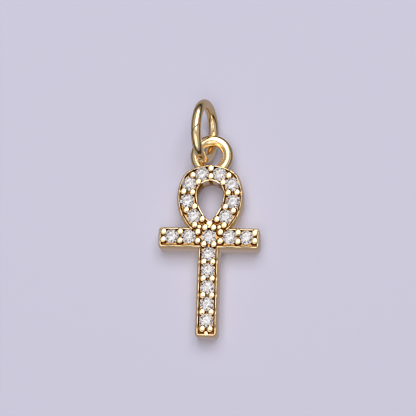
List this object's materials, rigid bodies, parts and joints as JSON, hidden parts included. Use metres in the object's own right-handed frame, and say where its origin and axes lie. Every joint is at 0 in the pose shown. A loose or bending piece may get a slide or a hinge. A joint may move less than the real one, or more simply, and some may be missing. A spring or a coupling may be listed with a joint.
{
  "type": "ankh pendant",
  "caption": "Small cast ankh charm with a looped top, round stones in shared-prong rows inside a raised rim, a cast eyelet and an open-cut jump ring, lying on its back.",
  "frame": {"origin": "on the flat back face, under the crossing of the crossbar's and the stem's stone rows", "axes": "+Z out of the jewelled front, +Y towards the eyelet and jump ring, X along the crossbar"},
  "size_m": [0.0074, 0.0176, 0.0046],
  "materials": {
    "gold_plated_brass": "polished yellow gold plating",
    "cubic_zirconia": "clear, faceted"
  },
  "bodies": {
    "root": {"setting": "gold_plated_brass", "jump_ring": "gold_plated_brass", "loop_stone_1": "cubic_zirconia", "loop_stone_2": "cubic_zirconia", "loop_stone_3": "cubic_zirconia", "loop_stone_4": "cubic_zirconia", "loop_stone_5": "cubic_zirconia", "loop_stone_6": "cubic_zirconia", "loop_stone_7": "cubic_zirconia", "loop_stone_8": "cubic_zirconia", "bar_stone_1": "cubic_zirconia", "bar_stone_2": "cubic_zirconia", "bar_stone_3": "cubic_zirconia", "bar_stone_4": "cubic_zirconia", "bar_stone_5": "cubic_zirconia", "stem_stone_1": "cubic_zirconia", "stem_stone_2": "cubic_zirconia", "stem_stone_3": "cubic_zirconia", "stem_stone_4": "cubic_zirconia", "stem_stone_5": "cubic_zirconia"}
  },
  "joints": []
}
